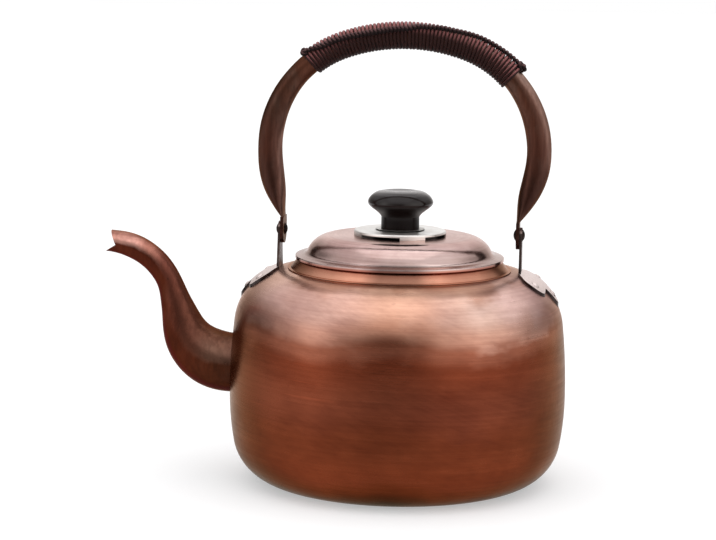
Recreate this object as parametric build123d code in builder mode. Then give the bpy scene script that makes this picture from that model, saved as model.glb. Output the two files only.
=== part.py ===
from build123d import *

import os
from math import asin, cos, degrees, pi, radians, sin, sqrt

# Whistling kettle: a spun copper vessel with a swallow mouthed spout, a folding bail handle
# with a cord wound grip, and a lift off lid that carries the whistle and the knob.
# The origin is the middle of the base, +Z is up, the spout points to -X, the front is -Y.
# Every size is in millimetres.

os.makedirs("parts", exist_ok=True)

# Clearances
face_gap = 0.05
pivot_gap = 0.05
pivot_side_gap = 0.15
lid_seat_gap = 0.2
rivet_tail_gap = 0.2
winding_gap = 0.25

# Vessel, a body of revolution of four tangent arcs
body_r = 100.0
belly_z = 53.5
belly_lower_r = 167.0
belly_upper_r = 375.0
corner_r = 29.3
shoulder_r = 34.5
shoulder_z = 127.3
shell_wall = 1.2

# Neck collar
neck_set_out = 1.2
neck_rise = 5.6
neck_lean = 4.0
neck_land = 3.8
neck_lip = 1.8
neck_lip_t = 0.5
neck_wall = 1.2
neck_depth = 5.0

# Spout: an arc up from the root, a straight riser, and an arc over to the mouth
spout_z = 67.5
spout_root_r = 17.8
spout_throat_r = 7.4
spout_mouth_r = 6.5
spout_wall = 1.0
spout_sink = 6.0
spout_low_bend_r = 31.2
spout_high_bend_r = 40.0
spout_lean = 72.5
spout_riser = 22.5
spout_mouth_lean = 7.0
spout_nose = 13.0
mouth_notch_drop = 1.3
mouth_upper_reach = 4.2
mouth_upper_rise = 7.4
mouth_lower_reach = 7.5
mouth_lower_drop = 6.1

# Ears, riveted to the shoulder
ear_t = 1.4
strap_t = 1.5
strap_set_out = 7.65
strap_foot_half = 8.7
strap_top_r = 4.6
side_lobe_angle = 33.8
side_lobe_y = 17.2
side_lobe_r = 6.5
end_lobe_angle = 51.0
end_lobe_r = 8.0
end_lobe_set_in = 3.4
ear_rivet_r = 1.6
ear_rivet_head_r = 2.5
ear_rivet_head_h = 0.8

# Handle pivots
pivot_z = 149.3
pivot_rivet_r = 2.2
pivot_head_r = 3.6
pivot_head_h = 1.5

# Bail, whose bend sits a little nearer the right pivot
tang_t = 2.0
tang_end_r = 8.4
tang_half_w = 8.0
tang_root_half_w = 7.5
bail_bulge = 9.8
bail_leg = 48.7
bail_rise = 116.0
bail_crown_turn = 19.6
bail_set_over = 1.5
bail_tube_r = 6.3
bail_leg_half = 7.25
leg_outer_taper = 2.4
leg_inner_share = 0.75
bail_leg_half_y = 6.1
bail_wall = 1.0
pinch_above_pivot = 7.7
swell_start = 42.0
swell_end = 82.0

# Grip cord, wound round the top of the bail
cord_d = 1.6
cord_turns = 24
grip_left = 59.0
grip_right = 69.5

# Lid
lid_overhang = 1.4
lid_rim_h = 2.0
lid_t = 1.0
lid_flange_w = 6.5
lid_flange_rise = 1.3
dome_rise = 10.8
dome_foot_fillet = 4.0
dome_corner_r = 15.2
dome_crown_r = 1500.0
skirt_gap = 0.6
skirt_t = 1.0
skirt_drop = 8.5
skirt_flange = 3.8

# Steam hat, on four feet, with a window between each pair
hat_r = 27.2
hat_t = 0.8
hat_h = 3.1
hat_edge_r = 1.1
hat_feet = 4
hat_window_angle = 57.0
hat_first_foot = 21.3
hat_band = 1.6
tab_w = 4.0
tab_drop = 2.6

# Whistle, two holed plates in a cup through the middle of the lid
cup_r = 9.9
cup_wall = 1.6
cup_h = 7.0
cup_flange_w = 2.2
cup_flange_t = 0.6
plate_t = 0.6
plate_r_over = 0.8
whistle_hole_r = 1.5

# Knob
washer_r = 14.5
washer_t = 0.6
knob_neck_r = 11.3
knob_neck_h = 7.2
knob_r = 19.4
knob_rim_h = 15.6
knob_top_h = 22.5
knob_crown_r = 9.5
knob_dish = 0.7
knob_flare_bends = ((0.40, 0.40), (0.80, 0.70))
knob_cap_bends = ((0.15, 0.47), (0.42, 0.80))
insert_r = 3.6
insert_len = 12.0
screw_r = 2.0
screw_head_r = 3.6
screw_head_h = 1.2
screw_reach = 9.0


# Vessel geometry that follows from the sizes above
lower_turn = asin((belly_z - corner_r) / (belly_lower_r - corner_r))
upper_turn = asin((shoulder_z - belly_z - shoulder_r) / (belly_upper_r - shoulder_r))
corner_x = body_r - belly_lower_r + (belly_lower_r - corner_r) * cos(lower_turn)
shoulder_x = body_r - belly_upper_r + (belly_upper_r - shoulder_r) * cos(upper_turn)
shoulder_centre_z = shoulder_z - shoulder_r

neck_foot_r = shoulder_x + neck_set_out
neck_top_r = neck_foot_r - neck_lean
neck_bore_r = neck_top_r - neck_land
neck_top_z = shoulder_z + face_gap + neck_rise

strap_x = shoulder_x + strap_set_out
tang_x = strap_x - pivot_side_gap - tang_t / 2
bail_side_z = pivot_z + bail_leg
bail_half_w = tang_x + bail_bulge
bail_top_z = pivot_z + bail_rise

lid_z = neck_top_z + lid_seat_gap
lid_rim_r = neck_top_r + lid_overhang
lid_rim_top = lid_z + lid_rim_h
dome_foot_r = lid_rim_r - lid_flange_w
dome_foot_z = lid_rim_top + lid_flange_rise
dome_edge_z = dome_foot_z + dome_rise
dome_centre_z = dome_edge_z - dome_corner_r
dome_foot_turn = asin((dome_corner_r - dome_rise) / dome_corner_r)
dome_centre_x = dome_foot_r - dome_corner_r * cos(dome_foot_turn)
crown_turn = asin(dome_centre_x / (dome_crown_r - dome_corner_r))
crown_centre_z = dome_centre_z - (dome_crown_r - dome_corner_r) * cos(crown_turn)
lid_top_z = crown_centre_z + dome_crown_r

hat_foot_z = crown_centre_z + sqrt(dome_crown_r ** 2 - hat_r ** 2) + face_gap
hat_top_z = hat_foot_z + hat_h
washer_z = hat_top_z + face_gap
knob_z = washer_z + washer_t + face_gap


def smooth_step(t):
    t = min(max(t, 0.0), 1.0)
    return 3 * t ** 2 - 2 * t ** 3


# Half section of the vessel, drawn inwards by an inset or outwards by a negative one.
def vessel_region(inset):
    with BuildSketch(Plane.XZ) as region:
        with BuildLine():
            Line((0, inset), (corner_x, inset))
            CenterArc((corner_x, corner_r), corner_r - inset, -90, 90 - degrees(lower_turn))
            CenterArc(
                (body_r - belly_lower_r, belly_z),
                belly_lower_r - inset,
                -degrees(lower_turn),
                degrees(lower_turn),
            )
            CenterArc(
                (body_r - belly_upper_r, belly_z),
                belly_upper_r - inset,
                0,
                degrees(upper_turn),
            )
            shoulder = CenterArc(
                (shoulder_x, shoulder_centre_z),
                shoulder_r - inset,
                degrees(upper_turn),
                90 - degrees(upper_turn),
            )
            Polyline(shoulder @ 1, (0, shoulder_z - inset), (0, inset))
        make_face()
    return region.sketch


# A point on the shoulder, turned out from the top by an angle, and the way its surface faces.
def shoulder_place(turn, y, above):
    reach = shoulder_x + (shoulder_r + above) * sin(radians(turn))
    x = sqrt(reach ** 2 - y ** 2)
    z = shoulder_centre_z + (shoulder_r + above) * cos(radians(turn))
    out = Vector(x, y, 0).normalized() * sin(radians(turn)) + Vector(0, 0, cos(radians(turn)))
    return Vector(x, y, z), out


ear_rivet_spots = (
    (side_lobe_angle, -side_lobe_y),
    (side_lobe_angle, side_lobe_y),
    (end_lobe_angle, 0.0),
)


def ear_rivet_plane(turn, y, sign):
    point, out = shoulder_place(turn, y, 0.0)
    return Plane(origin=(sign * point.X, point.Y, point.Z), z_dir=(sign * out.X, out.Y, out.Z))


# Body shell: one spun shell, open at the neck, holed for the spout and the ear rivets.
with BuildPart() as body_shell:
    revolve(vessel_region(0), axis=Axis.Z)
    revolve(vessel_region(shell_wall), axis=Axis.Z, mode=Mode.SUBTRACT)
    with BuildSketch(Plane.XY.offset(shoulder_z)):
        Circle(neck_bore_r + neck_wall + face_gap)
    extrude(amount=-2 * shell_wall, mode=Mode.SUBTRACT)
    with BuildSketch(Plane.YZ.offset(-body_r + spout_sink)):
        with Locations((0, spout_z)):
            Circle(spout_root_r - spout_wall - 3)
    extrude(amount=-2 * spout_sink, mode=Mode.SUBTRACT)
    for side in (1, -1):
        for spot in ear_rivet_spots:
            with BuildSketch(ear_rivet_plane(*spot, side)):
                Circle(ear_rivet_r + face_gap)
            extrude(amount=2 * shell_wall, both=True, mode=Mode.SUBTRACT)

body_shell.part.label = "body_shell"
export_step(body_shell.part, "parts/body_shell.step")


# Neck collar: a flared band that stands on the shoulder and turns down into the opening.
with BuildPart() as neck_collar:
    foot_z = shoulder_z + face_gap
    with BuildSketch(Plane.XZ) as collar_section:
        with BuildLine():
            Polyline(
                (neck_bore_r, shoulder_z - neck_depth),
                (neck_bore_r, neck_top_z),
                (neck_top_r, neck_top_z),
                (neck_foot_r, foot_z + neck_lip_t),
                (neck_foot_r + neck_lip, foot_z + neck_lip_t),
                (neck_foot_r + neck_lip, foot_z),
                (neck_foot_r - neck_wall, foot_z),
                (neck_top_r - neck_wall, neck_top_z - neck_wall),
                (neck_bore_r + neck_wall, neck_top_z - neck_wall),
                (neck_bore_r + neck_wall, shoulder_z - neck_depth),
                close=True,
            )
        make_face()
        top_corners = collar_section.vertices().group_by(Axis.Y)[-1]
        fillet(top_corners, radius=0.6 * neck_wall)
    revolve(axis=Axis.Z)

neck_collar.part.label = "neck_collar"
export_step(neck_collar.part, "parts/neck_collar.step")


# Middle line of the spout, as a distance out from the axis, a height and a lean, by its length.
low_bend_len = spout_low_bend_r * radians(spout_lean)
high_bend_len = spout_high_bend_r * radians(spout_lean - spout_mouth_lean)
spout_start = body_r - spout_sink
spout_len = spout_sink + low_bend_len + spout_riser + high_bend_len + spout_nose


def spout_line(s):
    s = s - spout_sink
    if s <= 0:
        return body_r + s, spout_z, 0.0
    lean = min(s / spout_low_bend_r, radians(spout_lean))
    out = body_r + spout_low_bend_r * sin(lean)
    z = spout_z + spout_low_bend_r * (1 - cos(lean))
    s = s - low_bend_len
    if s <= 0:
        return out, z, lean
    run = min(s, spout_riser)
    out = out + run * cos(lean)
    z = z + run * sin(lean)
    s = s - spout_riser
    if s <= 0:
        return out, z, lean
    end_lean = max(lean - s / spout_high_bend_r, radians(spout_mouth_lean))
    out = out + spout_high_bend_r * (sin(lean) - sin(end_lean))
    z = z + spout_high_bend_r * (cos(end_lean) - cos(lean))
    s = s - high_bend_len
    if s <= 0:
        return out, z, end_lean
    return out + s * cos(end_lean), z + s * sin(end_lean), end_lean


# The bore narrows smoothly from the root to the throat, and a little more at the mouth.
def spout_radius(s):
    narrow_end = spout_sink + low_bend_len + spout_riser + 0.2 * high_bend_len
    body_part = smooth_step((s - spout_sink - 8) / (narrow_end - spout_sink - 8))
    mouth_part = smooth_step((s - (spout_len - spout_nose - 14)) / 22)
    radius = spout_root_r + (spout_throat_r - spout_root_r) * body_part
    return radius + (spout_mouth_r - spout_throat_r) * mouth_part


# Spout: a tapered tube, trimmed to the body at its root and cut to a swallow tail at its mouth.
def spout_sections(inset, overrun):
    steps = 16
    sections = []
    for step in range(steps + 1):
        s = spout_len * step / steps
        if step == 0:
            s = -overrun
        if step == steps:
            s = spout_len + overrun
        out, z, lean = spout_line(s)
        with BuildSketch(Plane(origin=(-out, 0, z), z_dir=(-cos(lean), 0, sin(lean)))) as section:
            Circle(spout_radius(s) - inset)
        sections.append(section.sketch)
    return sections


with BuildPart() as spout:
    loft(spout_sections(0, 0))
    loft(spout_sections(spout_wall, 2), mode=Mode.SUBTRACT)
    revolve(vessel_region(-face_gap), axis=Axis.Z, mode=Mode.SUBTRACT)
    out, z, lean = spout_line(spout_len - spout_nose)
    mouth = Plane(origin=(-out, 0, z), x_dir=(-cos(lean), 0, sin(lean)), z_dir=(0, 1, 0))
    with BuildSketch(mouth):
        with BuildLine():
            Polyline(
                (0, -mouth_notch_drop),
                (3 * mouth_upper_reach, 3 * mouth_upper_rise - mouth_notch_drop),
                (3 * spout_nose, 3 * mouth_upper_rise - mouth_notch_drop),
                (3 * spout_nose, -3 * mouth_lower_drop - mouth_notch_drop),
                (3 * mouth_lower_reach, -3 * mouth_lower_drop - mouth_notch_drop),
                close=True,
            )
        make_face()
    extrude(amount=2 * spout_root_r, both=True, mode=Mode.SUBTRACT)

spout.part.label = "spout"
export_step(spout.part, "parts/spout.step")


# Plan of an ear: a foot for the strap, a lobe each side and a lobe at the outer end.
side_lobe, _ = shoulder_place(side_lobe_angle, side_lobe_y, 0.0)
end_lobe, _ = shoulder_place(end_lobe_angle, 0.0, 0.0)


def ear_plan():
    with BuildSketch(Plane.XY.offset(belly_z)) as plan:
        with BuildSketch(mode=Mode.PRIVATE) as lobes:
            for y in (side_lobe.Y, -side_lobe.Y):
                with Locations((side_lobe.X, y)):
                    Circle(side_lobe_r)
            with Locations((strap_x + strap_t / 2, 0)):
                Rectangle(strap_t, 2 * strap_foot_half)
        make_hull(lobes.edges())
        with Locations((end_lobe.X - end_lobe_set_in, 0)):
            Circle(end_lobe_r)
    return plan.sketch


# Outline of a strap seen from the side, round about the pivot and wider at the shoulder.
def strap_outline():
    with BuildSketch(Plane.YZ.offset(strap_x)) as outline:
        with Locations((0, pivot_z)):
            Circle(strap_top_r)
        with BuildLine():
            Polyline(
                (-strap_top_r, pivot_z),
                (strap_top_r, pivot_z),
                (strap_foot_half, shoulder_z),
                (strap_foot_half, belly_z),
                (-strap_foot_half, belly_z),
                (-strap_foot_half, shoulder_z),
                close=True,
            )
        make_face()
    return outline.sketch


# Right ear: a plate shaped to the shoulder, with a strap that stands up to the pivot.
with BuildPart() as right_ear:
    revolve(vessel_region(-(face_gap + ear_t)), axis=Axis.Z)
    extrude(ear_plan(), amount=pivot_z, mode=Mode.INTERSECT)
    extrude(strap_outline(), amount=strap_t)
    revolve(vessel_region(-face_gap), axis=Axis.Z, mode=Mode.SUBTRACT)
    for spot in ear_rivet_spots:
        with BuildSketch(ear_rivet_plane(*spot, 1)):
            Circle(ear_rivet_r + face_gap)
        extrude(amount=3 * ear_t, both=True, mode=Mode.SUBTRACT)
    with BuildSketch(Plane.YZ.offset(strap_x)):
        with Locations((0, pivot_z)):
            Circle(pivot_rivet_r + face_gap)
    extrude(amount=strap_t, mode=Mode.SUBTRACT)

right_ear.part.label = "right_ear"
export_step(right_ear.part, "parts/right_ear.step")


# Left ear: the same ear across the kettle.
with BuildPart() as left_ear:
    mirror(right_ear.part, about=Plane.YZ)

left_ear.part.label = "left_ear"
export_step(left_ear.part, "parts/left_ear.step")


# Half section of a rivet with two domed heads, gripping from one height to another.
def rivet_section(plane, shank_r, head_r, head_h, grip):
    dome_r = (head_r ** 2 + head_h ** 2) / (2 * head_h)
    dome_turn = degrees(asin(head_r / dome_r))
    with BuildSketch(plane) as section:
        with BuildLine():
            CenterArc((0, grip + head_h - dome_r), dome_r, 90 - dome_turn, dome_turn)
            Polyline((head_r, grip), (shank_r, grip), (shank_r, 0), (head_r, 0))
            CenterArc((0, dome_r - head_h), dome_r, -90, dome_turn)
            Line((0, -head_h), (0, grip + head_h))
        make_face()
    return section.sketch


# Ear rivets: three at each side, through the ear and the shell.
def ear_rivet_axis_plane(turn, y, sign):
    seat = ear_rivet_plane(turn, y, sign)
    start = seat.origin - seat.z_dir * (shell_wall + rivet_tail_gap)
    return Plane(origin=start, x_dir=seat.x_dir, z_dir=seat.z_dir.cross(seat.x_dir))


ear_rivet_grip = rivet_tail_gap + shell_wall + face_gap + ear_t + face_gap

for side_name, side in (("right", 1), ("left", -1)):
    with BuildPart() as ear_rivets:
        for spot in ear_rivet_spots:
            section_plane = ear_rivet_axis_plane(*spot, side)
            section_plane = Plane(
                origin=section_plane.origin,
                x_dir=section_plane.x_dir,
                z_dir=-section_plane.z_dir,
            )
            rivet_axis = Axis(section_plane.origin, section_plane.y_dir)
            revolve(
                rivet_section(
                    section_plane, ear_rivet_r, ear_rivet_head_r, ear_rivet_head_h, ear_rivet_grip
                ),
                axis=rivet_axis,
            )
    ear_rivets.part.label = side_name + "_ear_rivets"
    export_step(ear_rivets.part, "parts/" + side_name + "_ear_rivets.step")


# Pivot rivets: each holds a tang of the bail against its strap and lets it turn.
pivot_grip = tang_t + strap_t + 2 * pivot_side_gap + face_gap

for side_name, side in (("right", 1), ("left", -1)):
    with BuildPart() as pivot_rivet:
        start = side * (tang_x - tang_t / 2 - pivot_side_gap)
        section_plane = Plane(origin=(start, 0, pivot_z), x_dir=(0, 0, 1), z_dir=(0, side, 0))
        revolve(
            rivet_section(section_plane, pivot_rivet_r, pivot_head_r, pivot_head_h, pivot_grip),
            axis=Axis((start, 0, pivot_z), (side, 0, 0)),
        )
    pivot_rivet.part.label = side_name + "_pivot_rivet"
    export_step(pivot_rivet.part, "parts/" + side_name + "_pivot_rivet.step")


# Bail middle line: a flat crown arc, then a tighter arc down to the widest place of the leg.
crown = radians(bail_crown_turn)
arch_h = bail_top_z - bail_side_z
arch_det = sin(crown) * cos(crown) - (1 - sin(crown)) * (1 - cos(crown))
crown_arc_r = (bail_half_w * cos(crown) - arch_h * (1 - sin(crown))) / arch_det
side_arc_r = (arch_h * sin(crown) - bail_half_w * (1 - cos(crown))) / arch_det
crown_len = crown_arc_r * crown


def arch_point(turn):
    flat = min(turn, crown)
    x = crown_arc_r * sin(flat)
    z = bail_top_z - crown_arc_r * (1 - cos(flat))
    if turn > crown:
        x = x + side_arc_r * (sin(turn) - sin(crown))
        z = z - side_arc_r * (cos(crown) - cos(turn))
    return x, z


def arch_turn(length):
    if length <= crown_len:
        return length / crown_arc_r
    return crown + (length - crown_len) / side_arc_r


def tube_half(turn):
    swell = smooth_step((degrees(turn) - swell_start) / (swell_end - swell_start))
    in_plane = bail_tube_r + (bail_leg_half - bail_tube_r) * swell
    across = bail_tube_r + (bail_leg_half_y - bail_tube_r) * swell
    return in_plane, across


# One closed curve in place of an ellipse, so that every section starts at the same place.
def oval(plane, half_x, half_y):
    points = []
    for step in range(12):
        angle = 2 * pi * step / 12
        points.append((half_x * cos(angle), half_y * sin(angle)))
    with BuildSketch(plane) as section:
        with BuildLine():
            Spline(*points, periodic=True)
        make_face()
    return section.sketch


pinch_z = pivot_z + pinch_above_pivot
leg_shares = (0.2, 0.37, 0.52, 0.66, 0.78, 0.87, 0.94, 1.0)
crown_steps = 4
side_steps = 8


def leg_section(set_over, share, inset):
    leg_out = bail_half_w + bail_leg_half
    leg_in = bail_half_w - bail_leg_half
    outer = leg_out + (tang_x + tang_t / 2 - leg_out) * share ** leg_outer_taper
    inner = leg_in + (tang_x - tang_t / 2 - leg_in) * smooth_step(share / leg_inner_share)
    across = bail_leg_half_y + (tang_half_w - bail_leg_half_y) * smooth_step(share)
    z = bail_side_z + (pinch_z - bail_side_z) * share
    middle = (inner + outer) / 2 + set_over * smooth_step(1 - share)
    plane = Plane(origin=(middle, 0, z), x_dir=(1, 0, 0), z_dir=(0, 0, -1))
    return oval(plane, (outer - inner) / 2 - inset, across - inset)


# Sections of one half of the bail, from the middle of the grip down one leg.
def bail_sections(set_over, inset, leg_count):
    sections = []
    turns = [crown * step / crown_steps for step in range(crown_steps)]
    for step in range(side_steps + 1):
        turns.append(crown + (pi / 2 - crown) * step / side_steps)
    for turn in turns:
        x, z = arch_point(turn)
        in_plane, across = tube_half(turn)
        along = (cos(turn), 0, -sin(turn))
        plane = Plane(origin=(x + set_over, 0, z), x_dir=(sin(turn), 0, cos(turn)), z_dir=along)
        sections.append(oval(plane, in_plane - inset, across - inset))
    for share in leg_shares[:leg_count]:
        sections.append(leg_section(set_over, share, inset))
    return sections


# Outline of a tang: the flattened end of the tube, round about the pivot.
def tang_outline():
    with BuildSketch(Plane.YZ.offset(tang_x - tang_t / 2)) as outline:
        with Locations((0, pivot_z)):
            Circle(tang_end_r)
        with BuildLine():
            Polyline(
                (-tang_end_r, pivot_z),
                (tang_end_r, pivot_z),
                (tang_root_half_w, pinch_z),
                (-tang_root_half_w, pinch_z),
                close=True,
            )
        make_face()
        with Locations((0, pivot_z)):
            Circle(pivot_rivet_r + pivot_gap, mode=Mode.SUBTRACT)
    return outline.sketch


# Bail tube: one bent tube, pinched flat at both ends, each with a rounded tang and its hole.
with BuildPart() as left_half:
    loft(bail_sections(-bail_set_over, 0, len(leg_shares)))
    loft(bail_sections(-bail_set_over, bail_wall, 4), mode=Mode.SUBTRACT)
    extrude(tang_outline(), amount=tang_t)

with BuildPart() as bail_tube:
    loft(bail_sections(bail_set_over, 0, len(leg_shares)))
    loft(bail_sections(bail_set_over, bail_wall, 4), mode=Mode.SUBTRACT)
    extrude(tang_outline(), amount=tang_t)
    mirror(left_half.part, about=Plane.YZ)

bail_tube.part.label = "bail_tube"
export_step(bail_tube.part, "parts/bail_tube.step")


# Grip cord: a helix round the bent tube, with two tangent arcs for each quarter turn.
cord_start = -grip_left
cord_pitch = (grip_left + grip_right) / cord_turns


def cord_point(turns_done):
    length = cord_start + cord_pitch * turns_done
    side = 1 if length >= 0 else -1
    turn = arch_turn(abs(length))
    x, z = arch_point(turn)
    in_plane, across = tube_half(turn)
    reach = cord_d / 2 + winding_gap
    angle = 2 * pi * turns_done
    along_normal = (in_plane + reach) * cos(angle)
    return Vector(
        side * (x + along_normal * sin(turn)) + bail_set_over,
        -(across + reach) * sin(angle),
        z + along_normal * cos(turn),
    )


def cord_direction(turns_done):
    step = 0.001
    return (cord_point(turns_done + step) - cord_point(turns_done - step)).normalized()


# The meeting point of two equal handled tangent arcs between two points.
def arc_join(start, start_dir, end, end_dir):
    chord = end - start
    both = start_dir + end_dir
    square = 2 * (1 - start_dir.dot(end_dir))
    lean = 2 * chord.dot(both)
    handle = (-lean + sqrt(lean ** 2 + 4 * square * chord.dot(chord))) / (2 * square)
    return (start + start_dir * handle + end - end_dir * handle) / 2


with BuildPart() as grip_cord:
    with BuildLine() as cord_path:
        quarter_count = 4 * cord_turns
        for quarter in range(quarter_count):
            start = cord_point(quarter / 4)
            end = cord_point((quarter + 1) / 4)
            start_dir = cord_direction(quarter / 4)
            end_dir = cord_direction((quarter + 1) / 4)
            middle = arc_join(start, start_dir, end, end_dir)
            first = TangentArc(start, middle, tangent=start_dir)
            TangentArc(middle, end, tangent=first % 1)
    with BuildSketch(Plane(origin=cord_path.line @ 0, z_dir=cord_path.line % 0)):
        Circle(cord_d / 2)
    sweep(path=cord_path.line)

grip_cord.part.label = "grip_cord"
export_step(grip_cord.part, "parts/grip_cord.step")

cord_samples = [cord_point(step / 24) for step in range(24 * cord_turns + 1)]
cord_gap = min(
    (cord_samples[i] - cord_samples[j]).length
    for i in range(len(cord_samples))
    for j in range(i + 12, min(i + 40, len(cord_samples)))
) - cord_d
print("grip cord: least gap to itself", round(cord_gap, 2), "mm")
cord_len = cord_path.wire().length
cord_ratio = grip_cord.part.volume / (pi * cord_d ** 2 / 4 * cord_len)
print("grip cord: length", round(cord_len), "mm, volume over section times length", round(cord_ratio, 4))


# Half section of the lid, filled down to a height and drawn inwards by an inset.
def lid_region(inset, bottom):
    foot_turn = asin((dome_foot_z - inset - dome_centre_z) / (dome_corner_r - inset))
    with BuildSketch(Plane.XZ) as region:
        with BuildLine():
            crown_arc = CenterArc(
                (0, crown_centre_z), dome_crown_r - inset, 90 - degrees(crown_turn), degrees(crown_turn)
            )
            corner_arc = CenterArc(
                (dome_centre_x, dome_centre_z),
                dome_corner_r - inset,
                degrees(foot_turn),
                90 - degrees(crown_turn) - degrees(foot_turn),
            )
            Polyline(
                corner_arc @ 0,
                (lid_rim_r - inset, lid_rim_top - inset),
                (lid_rim_r - inset, bottom),
                (0, bottom),
                crown_arc @ 1,
            )
        make_face()
        dome_foot = region.vertices().sort_by_distance(corner_arc @ 0)[0]
        fillet(dome_foot, radius=dome_foot_fillet + inset)
    return region.sketch


def foot_middle(foot):
    return hat_first_foot - 90 + 360 * foot / hat_feet


# Lid shell: a dome on a flat flange with a turned down rim, holed for the whistle and the hat.
with BuildPart() as lid_shell:
    revolve(lid_region(0, lid_z), axis=Axis.Z)
    revolve(lid_region(lid_t, lid_z - lid_t), axis=Axis.Z, mode=Mode.SUBTRACT)
    with BuildSketch(Plane.XY.offset(dome_foot_z)):
        Circle(cup_r + face_gap)
        for foot in range(hat_feet):
            with Locations(Location((0, 0, 0), (0, 0, foot_middle(foot)))):
                with Locations((hat_r - hat_t / 2, 0)):
                    Rectangle(hat_t + 4 * face_gap, tab_w + 4 * face_gap)
    extrude(amount=2 * dome_rise, mode=Mode.SUBTRACT)
    rim_edges = lid_shell.edges().filter_by(GeomType.CIRCLE).filter_by(
        lambda edge: abs(edge.radius - lid_rim_r) < 0.01
    )
    fillet(rim_edges, radius=0.45 * lid_t)

lid_shell.part.label = "lid_shell"
export_step(lid_shell.part, "parts/lid_shell.step")


# Lid skirt: a ring under the flange that seats the lid on the collar and centres it in the bore.
with BuildPart() as lid_skirt:
    skirt_r = neck_bore_r - skirt_gap
    under_foot_turn = asin((dome_foot_z - lid_t - dome_centre_z) / (dome_corner_r - lid_t))
    under_foot_r = dome_centre_x + (dome_corner_r - lid_t) * cos(under_foot_turn)
    under_slope = lid_flange_rise / (lid_rim_r - lid_t - under_foot_r)
    skirt_flange_r = skirt_r + skirt_flange
    under_at_flange = lid_rim_top - lid_t - face_gap + under_slope * (lid_rim_r - lid_t - skirt_flange_r)
    under_at_wall = under_at_flange + under_slope * (skirt_flange + skirt_t)
    with BuildSketch(Plane.XZ):
        with BuildLine():
            Polyline(
                (skirt_r - skirt_t, lid_z - skirt_drop),
                (skirt_r, lid_z - skirt_drop),
                (skirt_r, lid_z),
                (skirt_flange_r, lid_z),
                (skirt_flange_r, under_at_flange),
                (skirt_r - skirt_t, under_at_wall),
                close=True,
            )
        make_face()
    revolve(axis=Axis.Z)

lid_skirt.part.label = "lid_skirt"
export_step(lid_skirt.part, "parts/lid_skirt.step")


# Steam hat: a polished disc with a turned down wall, cut into four feet, each with a tab.
with BuildPart() as steam_hat:
    with BuildSketch(Plane.XY.offset(hat_foot_z)):
        Circle(hat_r)
    extrude(amount=hat_h)
    fillet(steam_hat.edges().group_by(Axis.Z)[-1], radius=hat_edge_r)
    with BuildSketch(Plane.XY.offset(hat_foot_z)):
        Circle(hat_r - hat_t)
    extrude(amount=hat_h - hat_t, mode=Mode.SUBTRACT)
    with BuildSketch(Plane.XY.offset(hat_foot_z)):
        far = 2 * hat_r
        half = radians(hat_window_angle / 2)
        for foot in range(hat_feet):
            with Locations(Location((0, 0, 0), (0, 0, foot_middle(foot) + 180 / hat_feet))):
                Polygon(
                    (0, 0),
                    (far * cos(half), -far * sin(half)),
                    (far * cos(half), far * sin(half)),
                    align=None,
                )
    extrude(amount=hat_h - hat_band, mode=Mode.SUBTRACT)
    with BuildSketch(Plane.XY.offset(hat_foot_z)):
        for foot in range(hat_feet):
            with Locations(Location((0, 0, 0), (0, 0, foot_middle(foot)))):
                with Locations((hat_r - hat_t / 2, 0)):
                    Rectangle(hat_t, tab_w)
    extrude(amount=-tab_drop)
    with BuildSketch(Plane.XY.offset(hat_top_z)):
        Circle(screw_r + pivot_gap)
    extrude(amount=-hat_t, mode=Mode.SUBTRACT)

steam_hat.part.label = "steam_hat"
export_step(steam_hat.part, "parts/steam_hat.step")


# Whistle cup: through the middle of the lid, flanged under it, stepped for the two plates.
cup_top_z = lid_top_z
cup_bore_r = cup_r - cup_wall
plate_r = cup_bore_r + plate_r_over

with BuildPart() as whistle_cup:
    with BuildSketch(Plane.XY.offset(cup_top_z - cup_h)):
        Circle(cup_r)
    extrude(amount=cup_h)
    with BuildSketch(Plane.XY.offset(lid_top_z - lid_t - 2 * face_gap)):
        Circle(cup_r + cup_flange_w)
    extrude(amount=-cup_flange_t)
    with BuildSketch(Plane.XY.offset(cup_top_z - cup_h)):
        Circle(cup_bore_r)
    extrude(amount=cup_h, mode=Mode.SUBTRACT)
    for seat_z in (cup_top_z - cup_h, cup_top_z - plate_t - face_gap):
        with BuildSketch(Plane.XY.offset(seat_z)):
            Circle(plate_r + face_gap)
        extrude(amount=plate_t + face_gap, mode=Mode.SUBTRACT)

whistle_cup.part.label = "whistle_cup"
export_step(whistle_cup.part, "parts/whistle_cup.step")


# Whistle plates: the gap between their two holes makes the note.
for plate_name, plate_z in (("lower", cup_top_z - cup_h), ("upper", cup_top_z - plate_t)):
    with BuildPart() as whistle_plate:
        with BuildSketch(Plane.XY.offset(plate_z)):
            Circle(plate_r)
            Circle(whistle_hole_r, mode=Mode.SUBTRACT)
        extrude(amount=plate_t)
    whistle_plate.part.label = "whistle_" + plate_name + "_plate"
    export_step(whistle_plate.part, "parts/whistle_" + plate_name + "_plate.step")


# Knob washer
with BuildPart() as knob_washer:
    with BuildSketch(Plane.XY.offset(washer_z)):
        Circle(washer_r)
        Circle(screw_r + pivot_gap, mode=Mode.SUBTRACT)
    extrude(amount=washer_t)

knob_washer.part.label = "knob_washer"
export_step(knob_washer.part, "parts/knob_washer.step")


# Places between two corners of the knob's profile, as shares of the way across and up.
def between(start, end, bends):
    places = []
    for across, up in bends:
        places.append((start[0] + (end[0] - start[0]) * across, start[1] + (end[1] - start[1]) * up))
    return places


# Knob: a moulded mushroom with a straight neck, a flared cap and a dished top.
knob_neck_top = (knob_neck_r, knob_z + knob_neck_h)
knob_rim = (knob_r, knob_z + knob_rim_h)
knob_top = (knob_crown_r, knob_z + knob_top_h)
dish_r = (knob_crown_r ** 2 + knob_dish ** 2) / (2 * knob_dish)

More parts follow.
